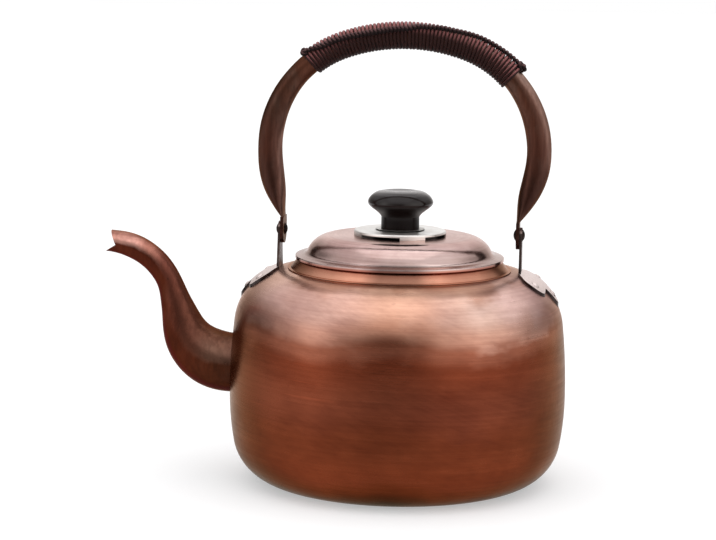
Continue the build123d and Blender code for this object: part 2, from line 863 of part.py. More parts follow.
with BuildPart() as knob:
    with BuildSketch(Plane.XZ):
        with BuildLine():
            Polyline((0, knob_top[1] - knob_dish), (0, knob_z), (knob_neck_r, knob_z), knob_neck_top)
            Spline(
                knob_neck_top,
                *between(knob_neck_top, knob_rim, knob_flare_bends),
                knob_rim,
                tangents=((0.5, 0.9), (0.2, 1)),
            )
            Spline(
                knob_rim,
                *between(knob_rim, knob_top, knob_cap_bends),
                knob_top,
                tangents=((-0.1, 1), (-1, 0.1)),
            )
            CenterArc(
                (0, knob_top[1] - knob_dish + dish_r), dish_r, -90, degrees(asin(knob_crown_r / dish_r))
            )
        make_face()
    revolve(axis=Axis.Z)
    with BuildSketch(Plane.XY.offset(knob_z)):
        Circle(insert_r + face_gap)
    extrude(amount=insert_len + face_gap, mode=Mode.SUBTRACT)

knob.part.label = "knob"
export_step(knob.part, "parts/knob.step")


# Knob insert: the threaded brass piece moulded into the knob.
with BuildPart() as knob_insert:
    with BuildSketch(Plane.XY.offset(knob_z)):
        Circle(insert_r)
    extrude(amount=insert_len)
    with BuildSketch(Plane.XY.offset(knob_z)):
        Circle(screw_r + face_gap)
    extrude(amount=screw_reach + 1, mode=Mode.SUBTRACT)

knob_insert.part.label = "knob_insert"
export_step(knob_insert.part, "parts/knob_insert.step")


# Knob screw: its head is under the hat, and its shank runs up through hat and washer.
with BuildPart() as knob_screw:
    head_top_z = hat_top_z - hat_t - face_gap
    with BuildSketch(Plane.XY.offset(head_top_z)):
        Circle(screw_head_r)
    extrude(amount=-screw_head_h)
    fillet(knob_screw.edges().group_by(Axis.Z)[0], radius=0.5 * screw_head_h)
    with BuildSketch(Plane.XY.offset(head_top_z)):
        Circle(screw_r)
    extrude(amount=knob_z + screw_reach - head_top_z)

knob_screw.part.label = "knob_screw"
export_step(knob_screw.part, "parts/knob_screw.step")
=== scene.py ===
import bpy
from math import cos, pi, radians, sin
from mathutils import Matrix, Vector


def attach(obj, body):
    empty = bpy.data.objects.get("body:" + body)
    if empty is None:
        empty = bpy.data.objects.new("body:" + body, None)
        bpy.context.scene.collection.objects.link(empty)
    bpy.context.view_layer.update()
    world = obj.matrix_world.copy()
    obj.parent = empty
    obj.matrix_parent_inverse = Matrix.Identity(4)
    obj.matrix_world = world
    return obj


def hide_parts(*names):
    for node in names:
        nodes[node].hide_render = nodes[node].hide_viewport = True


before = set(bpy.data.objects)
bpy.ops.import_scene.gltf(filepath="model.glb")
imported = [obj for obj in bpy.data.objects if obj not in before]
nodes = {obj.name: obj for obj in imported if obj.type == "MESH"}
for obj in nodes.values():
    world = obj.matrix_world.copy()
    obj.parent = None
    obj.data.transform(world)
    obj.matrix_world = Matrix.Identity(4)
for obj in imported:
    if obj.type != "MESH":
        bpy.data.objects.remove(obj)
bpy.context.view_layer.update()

print("kettle: frame loaded,", len(nodes), "nodes")


# Camera

view = {
    "distance": 1.450,
    "height": 0.3383,
    "turn": 5.0,        # degrees round from the front, towards +X
    "pan": 0.97,        # degrees that it looks to the left of the kettle's middle
    "pitch": 8.33,      # degrees down
    "roll": 0.9,
    "lens": 124.14,
    "sensor": 36.0,
    "nearest": 0.05,
    "furthest": 20,
}


def placeCamera():
    turn = radians(view["turn"])
    place = (view["distance"] * sin(turn), -view["distance"] * cos(turn), view["height"])
    bpy.ops.object.camera_add(location=place)
    camera = bpy.context.object
    camera.name = "photoCamera"
    camera.data.lens = view["lens"]
    camera.data.sensor_width = view["sensor"]
    camera.data.clip_start = view["nearest"]
    camera.data.clip_end = view["furthest"]
    yaw = Matrix.Rotation(radians(view["turn"] + view["pan"]), 3, "Z")
    tilt = Matrix.Rotation(radians(90 - view["pitch"]), 3, "X")
    roll = Matrix.Rotation(radians(view["roll"]), 3, "Z")
    camera.rotation_euler = (yaw @ tilt @ roll).to_euler()
    bpy.context.scene.camera = camera


placeCamera()
scene = bpy.context.scene
scene.view_settings.view_transform = "Standard"
print("kettle: camera placed")


# Small tools for shader trees

def addNode(tree, kind, **settings):
    node = tree.nodes.new(kind)
    for key, value in settings.items():
        setattr(node, key, value)
    return node


def feed(tree, source, target):
    tree.links.new(source, target)


def mathNode(tree, operation, first, second=None, third=None):
    node = addNode(tree, "ShaderNodeMath", operation=operation)
    for slot, value in enumerate((first, second, third)):
        if value is None:
            continue
        if isinstance(value, (int, float)):
            node.inputs[slot].default_value = value
        else:
            feed(tree, value, node.inputs[slot])
    return node.outputs[0]


def dim(tree, value, amount):
    return mathNode(tree, "MULTIPLY", value, amount)


def shareOf(tree, first, second, share):
    # a mix of two masks: a share of the first, and the rest of the second
    return mathNode(tree, "ADD", dim(tree, first, share), dim(tree, second, 1 - share))


def spreadOf(tree, value, low, high, outLow=0.0, outHigh=1.0):
    node = addNode(tree, "ShaderNodeMapRange", interpolation_type="SMOOTHSTEP")
    node.inputs["From Min"].default_value = low
    node.inputs["From Max"].default_value = high
    node.inputs["To Min"].default_value = outLow
    node.inputs["To Max"].default_value = outHigh
    feed(tree, value, node.inputs["Value"])
    return node.outputs[0]


def rampOf(tree, value, stops):
    # colours or greys at named places along a value
    low, high = stops[0][0], stops[-1][0]
    share = addNode(tree, "ShaderNodeMapRange")
    share.inputs["From Min"].default_value = low
    share.inputs["From Max"].default_value = high
    feed(tree, value, share.inputs["Value"])
    ramp = addNode(tree, "ShaderNodeValToRGB")
    ramp.color_ramp.interpolation = "EASE"
    elements = ramp.color_ramp.elements
    while len(elements) < len(stops):
        elements.new(0.5)
    for element, (spot, colour) in zip(elements, stops):
        element.position = (spot - low) / (high - low)
        element.color = (*colour, 1) if isinstance(colour, tuple) else (colour, colour, colour, 1)
    feed(tree, share.outputs[0], ramp.inputs[0])
    return ramp.outputs[0]


def blendColour(tree, factor, first, second, mode="MIX"):
    node = addNode(tree, "ShaderNodeMix", data_type="RGBA", blend_type=mode)
    for slot, value in ((0, factor), (6, first), (7, second)):
        if isinstance(value, (int, float)):
            node.inputs[slot].default_value = value
        elif isinstance(value, tuple):
            node.inputs[slot].default_value = (*value, 1)
        else:
            feed(tree, value, node.inputs[slot])
    return node.outputs[2]


def layOver(tree, mask, amount, under, over, mode="MIX"):
    # one colour over another, as strong as the mask times the amount
    return blendColour(tree, dim(tree, mask, amount), under, over, mode)


def placeOf(tree, kind="Object"):
    return addNode(tree, "ShaderNodeTexCoord").outputs[kind]


def splitPlace(tree, kind="Object"):
    split = addNode(tree, "ShaderNodeSeparateXYZ")
    feed(tree, placeOf(tree, kind), split.inputs[0])
    return split.outputs


def faceOf(tree, axisName):
    # how far a surface faces along one axis of the piece, from -1 to 1
    return splitPlace(tree, "Normal")[axisName]


def joinPlace(tree, x, y, z):
    joined = addNode(tree, "ShaderNodeCombineXYZ")
    for slot, value in enumerate((x, y, z)):
        feed(tree, value, joined.inputs[slot])
    return joined.outputs[0]


def radiusOf(tree, x, y):
    # how far out from Z
    squareX = mathNode(tree, "MULTIPLY", x, x)
    squareY = mathNode(tree, "MULTIPLY", y, y)
    return mathNode(tree, "SQRT", mathNode(tree, "ADD", squareX, squareY))


def bearingOf(tree, x, y):
    # degrees round Z from the front, positive towards +X
    bearing = mathNode(tree, "ARCTAN2", x, dim(tree, y, -1.0))
    return dim(tree, bearing, 180 / pi)


def noiseOf(tree, vector, scale, detail, roughness=0.5, seed=None):
    node = addNode(tree, "ShaderNodeTexNoise", noise_dimensions="3D" if seed is None else "4D")
    node.inputs["Detail"].default_value = detail
    node.inputs["Roughness"].default_value = roughness
    feed(tree, vector, node.inputs["Vector"])
    for label, value in (("Scale", scale), ("W", seed)):
        if isinstance(value, (int, float)):
            node.inputs[label].default_value = value
        elif value is not None:
            feed(tree, value, node.inputs[label])
    return node.outputs["Fac"]


def splitRays(tree):
    # the rays of the camera, and those that came by way of metal or glass
    rays = addNode(tree, "ShaderNodeLightPath").outputs
    mirrored = mathNode(tree, "MAXIMUM", rays["Is Glossy Ray"], rays["Is Transmission Ray"])
    return rays["Is Camera Ray"], mirrored


def startMaterial(name, **sockets):
    paint = bpy.data.materials.new(name)
    paint.use_nodes = True
    shader = paint.node_tree.nodes["Principled BSDF"]
    for label, value in sockets.items():
        socket = shader.inputs[label.replace("_", " ")]
        socket.default_value = (*value, 1) if isinstance(value, tuple) else value
    return paint, paint.node_tree, shader


# The room that the metal mirrors: a white backdrop behind, a dim room in front of the kettle
# with a soft window at each side, and a bright ceiling. Each stop of the ring is a bearing from
# the front in degrees, positive towards +X, and the brightness there.
room = {
    "ring": (
        (-180, 0.95), (-160, 0.60), (-135, 0.32), (-108, 0.18), (-82, 0.80), (-56, 1.70),
        (-34, 0.75), (-10, 0.30), (8, 0.30), (30, 1.00), (55, 1.60), (82, 1.35), (108, 0.50),
        (135, 0.40), (160, 0.62), (180, 0.95),
    ),
    "tint": (1.0, 0.985, 0.955),
    "ceiling": (1.22, 1.22, 1.24),
    "ceilingSpan": (0.22, 0.78),    # where it starts and is full, as a share of straight up
    "backdropSpan": (150, 172),     # degrees to either side of the front
}
lamp = {"place": (0, -0.1, 2.2), "size": 2.2, "power": 7.0}
floorLook = {"size": 14, "colour": (0.62, 0.62, 0.62), "rough": 0.9, "specular": 0.1, "lift": 0.42}
white = (1, 1, 1)


def lightTheRoom():
    world = bpy.data.worlds.new("softStudio")
    scene.world = world
    world.use_nodes = True
    tree = world.node_tree
    tree.nodes.clear()
    x, y, z = splitPlace(tree, "Generated")
    degrees = bearingOf(tree, x, y)
    tinted = blendColour(tree, 1.0, rampOf(tree, degrees, room["ring"]), room["tint"], "MULTIPLY")
    above = spreadOf(tree, z, *room["ceilingSpan"])
    sky = addNode(tree, "ShaderNodeBackground")
    feed(tree, blendColour(tree, above, tinted, room["ceiling"]), sky.inputs["Color"])
    backdrop = addNode(tree, "ShaderNodeBackground")
    backdrop.inputs["Color"].default_value = (*white, 1)
    cameraRays, mirrored = splitRays(tree)
    behind = spreadOf(tree, mathNode(tree, "ABSOLUTE", degrees), *room["backdropSpan"])
    mirroredBehind = mathNode(tree, "MULTIPLY", mirrored, behind)
    pick = addNode(tree, "ShaderNodeMixShader")
    feed(tree, mathNode(tree, "MAXIMUM", cameraRays, mirroredBehind), pick.inputs[0])
    feed(tree, sky.outputs[0], pick.inputs[1])
    feed(tree, backdrop.outputs[0], pick.inputs[2])
    out = addNode(tree, "ShaderNodeOutputWorld")
    feed(tree, pick.outputs[0], out.inputs["Surface"])


def hangCeilingLamp():
    bpy.ops.object.light_add(type="AREA", location=lamp["place"])
    ceilingLamp = bpy.context.object
    ceilingLamp.name = "ceilingLamp"
    ceilingLamp.data.size = lamp["size"]
    ceilingLamp.data.energy = lamp["power"]


def layFloor():
    bpy.ops.mesh.primitive_plane_add(size=floorLook["size"])
    floor = bpy.context.object
    floor.name = "paleFloor"
    paint, tree, shader = startMaterial(
        "paleFloor", Base_Color=floorLook["colour"], Roughness=floorLook["rough"],
        Specular_IOR_Level=floorLook["specular"], Emission_Color=white)
    seen = mathNode(tree, "MAXIMUM", *splitRays(tree))
    feed(tree, dim(tree, seen, floorLook["lift"]), shader.inputs["Emission Strength"])
    floor.data.materials.append(paint)


lightTheRoom()
hangCeilingLamp()
layFloor()
print("kettle: floor and light placed")


# Shared effects, each a node group that puts out masks

# where each mask begins and is full, in the value of its noise
maskSpan = {
    "Lines": (0.30, 0.70), "Scratches": (0.60, 0.72), "Grain": (0.35, 0.65),
    "Clouds": (0.32, 0.68), "Blots": (0.48, 0.74), "Specks": (0.64, 0.76),
}
lineNoise = {"detail": 4.0, "roughness": 0.62}
grainNoise = {"detail": 3.0}
# each kind of patch: how much finer than Size it is, its detail and roughness, and its own seed
patchNoise = {
    "Clouds": (1.0, 5.0, 0.56, 0.0), "Blots": (2.6, 3.0, 0.50, 7.3), "Specks": (22.0, 2.0, 0.50, 3.1),
}


def startGroup(name, inputs, outputs):
    group = bpy.data.node_groups.new(name, "ShaderNodeTree")
    for label, value in inputs:
        socket = group.interface.new_socket(label, in_out="INPUT", socket_type="NodeSocketFloat")
        socket.default_value = value
    for label in outputs:
        group.interface.new_socket(label, in_out="OUTPUT", socket_type="NodeSocketFloat")
    start = group.nodes.new("NodeGroupInput")
    end = group.nodes.new("NodeGroupOutput")
    return group, start, end


def putOut(group, end, label, noise):
    feed(group, spreadOf(group, noise, *maskSpan[label]), end.inputs[label])


def makeSpunLines():
    # fine streaks left by a polishing wheel: they run round Z, or lean where Slant says
    inputs = (("Fineness", 600.0), ("Run", 14.0), ("Slant", 0.0))
    group, start, end = startGroup("spunLines", inputs, ("Lines", "Scratches"))
    x, y, z = splitPlace(group)
    ringIn = mathNode(group, "MULTIPLY", radiusOf(group, x, y), start.outputs["Fineness"])
    leaning = mathNode(group, "MULTIPLY_ADD", x, start.outputs["Slant"], z)
    ringUp = mathNode(group, "MULTIPLY", leaning, start.outputs["Fineness"])
    along = mathNode(group, "MULTIPLY", x, start.outputs["Run"])
    deep = mathNode(group, "MULTIPLY", y, start.outputs["Run"])
    grain = noiseOf(group, joinPlace(group, ringIn, ringUp, along), 1.0, seed=deep, **lineNoise)
    putOut(group, end, "Lines", grain)
    putOut(group, end, "Scratches", grain)
    return group


def makeOldPatches():
    # cloudy heat and hand marks of an old metal surface, with smaller blots and specks
    inputs = (("Size", 30.0), ("Flatten", 1.6), ("Seed", 0.0))
    group, start, end = startGroup("oldPatches", inputs, tuple(patchNoise))
    x, y, z = splitPlace(group)
    flat = joinPlace(group, x, y, mathNode(group, "MULTIPLY", z, start.outputs["Flatten"]))
    for label, (finer, detail, roughness, ownSeed) in patchNoise.items():
        scale = dim(group, start.outputs["Size"], finer)
        seed = mathNode(group, "ADD", start.outputs["Seed"], ownSeed)
        putOut(group, end, label, noiseOf(group, flat, scale, detail, roughness, seed))
    return group


def makeDrawnGrain():
    # short scratches that run up and down, on bent tube and strap
    inputs = (("Fineness", 800.0), ("Run", 40.0))
    group, start, end = startGroup("drawnGrain", inputs, ("Grain",))
    x, y, z = splitPlace(group)
    fineX = mathNode(group, "MULTIPLY", x, start.outputs["Fineness"])
    fineY = mathNode(group, "MULTIPLY", y, start.outputs["Fineness"])
    longZ = mathNode(group, "MULTIPLY", z, start.outputs["Run"])
    grain = noiseOf(group, joinPlace(group, fineX, fineY, longZ), 1.0, **grainNoise)
    putOut(group, end, "Grain", grain)
    return group


spunLines = makeSpunLines()
oldPatches = makeOldPatches()
drawnGrain = makeDrawnGrain()
print("kettle: shared effects built")


def useGroup(tree, group, **values):
    node = addNode(tree, "ShaderNodeGroup", node_tree=group)
    for label, value in values.items():
        node.inputs[label].default_value = value
    return node.outputs


def patchesOf(tree, look, flatten=1.0):
    return useGroup(tree, oldPatches, Size=look["size"], Flatten=flatten, Seed=look["seed"])


def colourByPlace(tree, axisName, stops, shift=None):
    # a colour for each place along one axis, in metres
    spot = splitPlace(tree)[axisName]
    if shift is not None:
        spot = mathNode(tree, "ADD", spot, shift)
    return rampOf(tree, spot, stops)


girthNoise = {"scale": 16.0, "detail": 3.0}


def girthShade(tree, stops, sway, seed):
    # a painted reflection: a grey or a tint for each bearing round Z, with cloudy edges that sway by
    # some degrees
    x, y, z = splitPlace(tree)
    clouds = noiseOf(tree, placeOf(tree), seed=seed, **girthNoise)
    uneven = mathNode(tree, "SUBTRACT", clouds, 0.5)
    return rampOf(tree, mathNode(tree, "MULTIPLY_ADD", uneven, sway, bearingOf(tree, x, y)), stops)


def roughen(tree, shader, mask, look):
    rough = spreadOf(tree, mask, 0.0, 1.0, look["roughLow"], look["roughHigh"])
    feed(tree, rough, shader.inputs["Roughness"])


def addBump(tree, shader, height, depth, strength=0.6):
    bump = addNode(tree, "ShaderNodeBump")
    bump.inputs["Strength"].default_value = strength
    bump.inputs["Distance"].default_value = depth
    feed(tree, height, bump.inputs["Height"])
    feed(tree, bump.outputs[0], shader.inputs["Normal"])


# Copper of the spun pieces: vessel, collar and lid

# greys round the girth, a painted reflection: the belly is dark in front and at its far sides,
# mirroring a dark room, and lighter between, mirroring the side windows
paintedBellyReflection = (
    (-180, 0.95), (-140, 0.80), (-105, 0.85), (-80, 0.55), (-52, 0.70), (-36, 1.02), (-23, 1.14),
    (-11, 0.94), (1, 0.76), (10, 0.86), (22, 1.10), (33, 1.16), (46, 1.06), (62, 0.80), (80, 0.70),
    (110, 0.80), (145, 1.05), (180, 0.95),
)
# greys round the girth, a painted reflection: the collar and the wall of the lid are painted dark in
# front, mirroring a dark room, and light at either side of it
paintedBandReflection = (
    (-180, 0.90), (-120, 0.70), (-75, 0.62), (-40, 0.85), (-18, 1.12), (-4, 0.42), (12, 0.42),
    (27, 1.12), (45, 1.00), (80, 0.70), (130, 0.90), (180, 0.90),
)
# tints of the shoulder round the girth, a painted reflection: peach in front, pinker and paler towards
# its sides
paintedShoulderReflection = (
    (-180, (0.96, 0.96, 1.00)), (-100, (0.88, 0.90, 0.98)), (-72, (0.80, 0.82, 0.92)),
    (-54, (1.00, 1.06, 1.20)), (-36, (0.88, 0.86, 0.92)), (-20, (1.05, 1.05, 1.08)),
    (0, (0.94, 0.87, 0.79)), (12, (0.94, 0.87, 0.80)), (24, (1.00, 1.02, 1.02)),
    (36, (1.10, 1.22, 1.28)), (52, (1.05, 1.14, 1.30)), (72, (1.00, 1.08, 1.30)),
    (100, (0.88, 0.90, 0.98)), (180, (0.96, 0.96, 1.00)),
)

# the stops are colours by height, with painted light in them: near black at the foot, a painted
# shadow; a dark belly, partly patina and partly painted shade; and a pale shoulder, partly a
# painted highlight of the ceiling
bodyCopper = {
    "stops": (
        (0.000, (0.022, 0.006, 0.002)), (0.004, (0.108, 0.023, 0.006)),
        (0.010, (0.190, 0.039, 0.011)), (0.018, (0.220, 0.047, 0.017)),
        (0.040, (0.184, 0.042, 0.016)), (0.062, (0.215, 0.055, 0.026)),
        (0.084, (0.190, 0.042, 0.018)), (0.094, (0.320, 0.108, 0.062)),
        (0.103, (0.660, 0.350, 0.250)), (0.113, (0.860, 0.540, 0.420)),
        (0.121, (0.870, 0.560, 0.440)), (0.128, (0.640, 0.340, 0.240)),
    ),
    "girth": paintedBellyReflection, "girthSpan": (0.090, 0.108), "sway": 14.0, "rise": 0.013,
    "sides": paintedShoulderReflection, "edge": (0.84, 0.70, 0.59), "coat": 0.03,
    "size": 13.0, "flatten": 1.7, "seed": 2.0, "dark": (0.50, 0.44, 0.46), "patch": 0.70,
    "lines": 0.46, "scratch": 0.34, "fineness": 620.0, "slant": 0.45,
    "roughLow": 0.25, "roughHigh": 0.36, "dent": 0.0004,
}
# the collar's stops are darker at its top, a painted shadow under the lid's rim
bandCopper = {
    "stops": (
        (0.120, (0.36, 0.13, 0.08)), (0.1288, (0.64, 0.30, 0.20)), (0.1325, (0.42, 0.16, 0.10)),
    ),
    "girth": paintedBandReflection, "girthSpan": (0.150, 0.160), "sway": 8.0,
    "edge": (0.80, 0.62, 0.50), "coat": 0.08,
    "size": 34.0, "flatten": 1.0, "seed": 5.0, "dark": (0.55, 0.48, 0.46), "patch": 0.40,
    "lines": 0.25, "scratch": 0.12, "fineness": 1100.0, "slant": 0.0,
    "roughLow": 0.24, "roughHigh": 0.36, "dent": 0.0002,
}
# the lid's stops: dark under its rim, a painted shadow, and pale on top of its flange, partly a
# painted highlight
lidCopper = {
    "stops": (
        (0.130, (0.280, 0.070, 0.044)), (0.134, (0.530, 0.230, 0.170)),
        (0.1352, (0.630, 0.525, 0.495)), (0.138, (0.530, 0.395, 0.360)),
        (0.142, (0.590, 0.440, 0.405)), (0.1475, (0.770, 0.570, 0.535)),
    ),
    "girth": paintedBandReflection, "girthSpan": (0.1362, 0.1385), "sway": 8.0,
    "edge": (0.90, 0.78, 0.74), "coat": 0.12, "hatShadeSpan": (0.0262, 0.0276),
    "size": 22.0, "flatten": 1.0, "seed": 9.0, "dark": (0.56, 0.43, 0.43), "patch": 0.60,
    "lines": 0.40, "scratch": 0.18, "fineness": 700.0, "slant": 0.0,
    "roughLow": 0.14, "roughHigh": 0.25, "dent": 0.0002,
}
# wear and painted light that these three share
spunWearAndPaintedLight = {
    "midGirth": 0.9, "girthRise": 1.2, "midBlots": 0.3, "blotRise": 0.5, "blots": 0.40,
    "specks": 0.35, "ringRun": 16.0, "ringSlant": 0.03, "strokeFineness": 0.6, "strokeRun": 30.0,
    "lineTint": (0.70, 0.64, 0.62), "strokeTint": (0.66, 0.62, 0.62), "scratchTint": (1.9, 1.9, 1.9),
    "hatShade": (0.020, 0.012, 0.010), "cloudRough": 0.6, "lineHeight": 0.06, "coatRough": 0.25,
}


def makeSpunCopper(name, look):
    paint, tree, shader = startMaterial(
        name, Metallic=1.0, Specular_Tint=look["edge"],
        Coat_Weight=look["coat"], Coat_Roughness=spunWearAndPaintedLight["coatRough"])
    shade = girthShade(tree, look["girth"], look["sway"], look["seed"])
    marks = patchesOf(tree, look, look["flatten"])
    rise = None
    if "rise" in look:
        # the painted highlight of the shoulder reaches lower where the painted girth reflection is
        # light, with a cloudy line
        byGirth = mathNode(tree, "SUBTRACT", shade, spunWearAndPaintedLight["midGirth"])
        byBlots = mathNode(tree, "SUBTRACT", marks["Blots"], spunWearAndPaintedLight["midBlots"])
        rise = mathNode(tree, "ADD", dim(tree, byGirth, spunWearAndPaintedLight["girthRise"] * look["rise"]),
                        dim(tree, byBlots, spunWearAndPaintedLight["blotRise"] * look["rise"]))
    base = colourByPlace(tree, "Z", look["stops"], rise)
    # below the girth span the girth's painted reflection greys the colour, above it the shoulder's
    # painted reflection tints it
    below = spreadOf(tree, splitPlace(tree)["Z"], *look["girthSpan"], 1.0, 0.0)
    if "sides" in look:
        above = mathNode(tree, "SUBTRACT", 1.0, below)
        sides = girthShade(tree, look["sides"], look["sway"], look["seed"])
        base = blendColour(tree, above, base, sides, "MULTIPLY")
    base = blendColour(tree, below, base, shade, "MULTIPLY")
    if "hatShadeSpan" in look:
        # a painted shade in the middle, under the hat, dark so that its windows show black
        x, y, z = splitPlace(tree)
        underHat = spreadOf(tree, radiusOf(tree, x, y), *look["hatShadeSpan"], 1.0, 0.0)
        base = blendColour(tree, underHat, base, spunWearAndPaintedLight["hatShade"])
    rings = useGroup(tree, spunLines, Fineness=look["fineness"],
                     Run=spunWearAndPaintedLight["ringRun"], Slant=spunWearAndPaintedLight["ringSlant"])
    strokes = useGroup(tree, spunLines, Fineness=spunWearAndPaintedLight["strokeFineness"] * look["fineness"],
                       Run=spunWearAndPaintedLight["strokeRun"], Slant=look["slant"])
    dark = blendColour(tree, 1.0, base, look["dark"], "MULTIPLY")
    colour = layOver(tree, marks["Clouds"], look["patch"], base, dark)
    colour = layOver(tree, marks["Blots"], spunWearAndPaintedLight["blots"] * look["patch"], colour, dark)
    colour = layOver(tree, rings["Lines"], look["lines"], colour, spunWearAndPaintedLight["lineTint"], "MULTIPLY")
    stroked = mathNode(tree, "MULTIPLY", strokes["Lines"], marks["Clouds"])
    colour = layOver(tree, stroked, look["lines"], colour, spunWearAndPaintedLight["strokeTint"], "MULTIPLY")
    scratches = rings["Scratches"]
    colour = layOver(tree, scratches, look["scratch"], colour, spunWearAndPaintedLight["scratchTint"], "MULTIPLY")
    colour = layOver(tree, marks["Specks"], spunWearAndPaintedLight["specks"], colour, dark)
    feed(tree, colour, shader.inputs["Base Color"])
    roughen(tree, shader, shareOf(tree, marks["Clouds"], rings["Lines"], spunWearAndPaintedLight["cloudRough"]), look)
    height = mathNode(tree, "ADD", dim(tree, rings["Lines"], spunWearAndPaintedLight["lineHeight"]), marks["Clouds"])
    addBump(tree, shader, height, look["dent"])
    return paint


# Dark patina of the spout, the bail, the ears and the rivets. Each has a colour along one axis, the
# stops, and a lighter one, a painted highlight, where the surface faces the way that "lean"
# says, towards +X and up; "facing" is how much of it shows, from turned away to turned towards.
spoutPatina = {
    "axis": "X",
    "stops": (
        (-0.180, (0.052, 0.008, 0.003)), (-0.150, (0.060, 0.010, 0.004)),
        (-0.130, (0.056, 0.011, 0.004)), (-0.110, (0.036, 0.011, 0.004)),
        (-0.095, (0.028, 0.008, 0.003)),
    ),
    "paleHighlight": (
        (-0.180, (0.66, 0.32, 0.25)), (-0.160, (0.82, 0.42, 0.34)), (-0.150, (0.46, 0.19, 0.14)),
        (-0.140, (0.16, 0.050, 0.034)), (-0.124, (0.13, 0.045, 0.028)),
        (-0.108, (0.20, 0.100, 0.068)), (-0.095, (0.17, 0.080, 0.055)),
    ),
    "lean": (0.0, 1.0),
    "facing": (
        (-1.0, 0.0), (0.00, 0.0), (0.25, 0.75), (0.45, 1.0), (0.70, 0.55), (0.85, 0.35), (1.0, 0.45),
    ),
    "edge": (0.55, 0.38, 0.28), "coat": 0.05,
    "size": 40.0, "seed": 12.0, "warm": (0.120, 0.024, 0.009), "grey": (0.080, 0.044, 0.030),
    "warmAmount": 0.45, "greyAmount": 0.15, "grain": 0.32, "fineness": 420.0, "run": 90.0,
    "roughLow": 0.26, "roughHigh": 0.40, "dent": 0.0004,
}
bailPatina = {
    "axis": "Z",
    "stops": (
        (0.140, (0.022, 0.009, 0.007)), (0.165, (0.036, 0.013, 0.009)),
        (0.200, (0.042, 0.016, 0.011)), (0.235, (0.058, 0.023, 0.014)),
        (0.270, (0.110, 0.042, 0.023)),
    ),
    "paleHighlight": (
        (0.140, (0.10, 0.065, 0.055)), (0.175, (0.22, 0.120, 0.098)),
        (0.225, (0.36, 0.215, 0.175)), (0.270, (0.46, 0.340, 0.290)),
    ),
    "lean": (0.75, 0.66),
    "facing": ((-1.0, 0.30), (-0.7, 0.10), (0.0, 0.0), (0.40, 0.12), (0.72, 0.60), (1.0, 1.0)),
    "edge": (0.60, 0.46, 0.38), "coat": 0.05,
    "size": 46.0, "seed": 15.0, "warm": (0.130, 0.036, 0.019), "grey": (0.105, 0.078, 0.063),
    "warmAmount": 0.32, "greyAmount": 0.20, "grain": 0.36, "fineness": 700.0, "run": 60.0,
    "roughLow": 0.30, "roughHigh": 0.46, "dent": 0.00025,
}
# the ears' plates are pale on their outer faces, partly the sheet's own pale tone and partly a painted
# highlight, and black along their edges, a painted shadow, and dark up their straps
earSheet = {
    "axis": "Z",
    "stops": (
        (0.090, (0.010, 0.006, 0.006)), (0.128, (0.020, 0.013, 0.012)),
        (0.134, (0.060, 0.040, 0.036)), (0.156, (0.036, 0.024, 0.022)),
    ),
    "paleHighlight": (
        (0.090, (0.80, 0.68, 0.65)), (0.130, (0.88, 0.76, 0.73)), (0.150, (0.30, 0.22, 0.20)),
    ),
    "lean": (0.0, 1.0),
    "facing": ((-1.0, 0.0), (0.22, 0.0), (0.42, 0.95), (1.0, 1.0)),
    "edge": (0.90, 0.84, 0.82), "coat": 0.10,
    "size": 90.0, "seed": 21.0, "warm": (0.30, 0.17, 0.14), "grey": (0.40, 0.33, 0.31),
    "warmAmount": 0.12, "greyAmount": 0.10, "grain": 0.22, "fineness": 900.0, "run": 500.0,
    "roughLow": 0.30, "roughHigh": 0.46, "dent": 0.0002,
}
pivotDark = {
    "axis": "Z",
    "stops": ((0.140, (0.014, 0.010, 0.009)), (0.160, (0.014, 0.010, 0.009))),
    "paleHighlight": ((0.140, (0.10, 0.085, 0.080)), (0.160, (0.10, 0.085, 0.080))),
    "lean": (0.0, 1.0),
    "facing": ((-1.0, 0.0), (0.3, 0.0), (1.0, 0.7)),
    "edge": (0.50, 0.46, 0.44), "coat": 0.10,
    "size": 200.0, "seed": 4.0, "warm": (0.060, 0.030, 0.025), "grey": (0.080, 0.070, 0.066),
    "warmAmount": 0.3, "greyAmount": 0.15, "grain": 0.2, "fineness": 1500.0, "run": 900.0,
    "roughLow": 0.30, "roughHigh": 0.5, "dent": 0.0001,
}
# wear that these four share
patinaWear = {
    "metallic": 0.95, "coatRough": 0.2, "flatten": 0.6, "ragged": 0.16,
    "grainTint": (0.5, 0.46, 0.46), "specks": 0.4, "speckTint": (0.02, 0.012, 0.010),
    "cloudRough": 0.5, "grainHeight": 0.15,
}


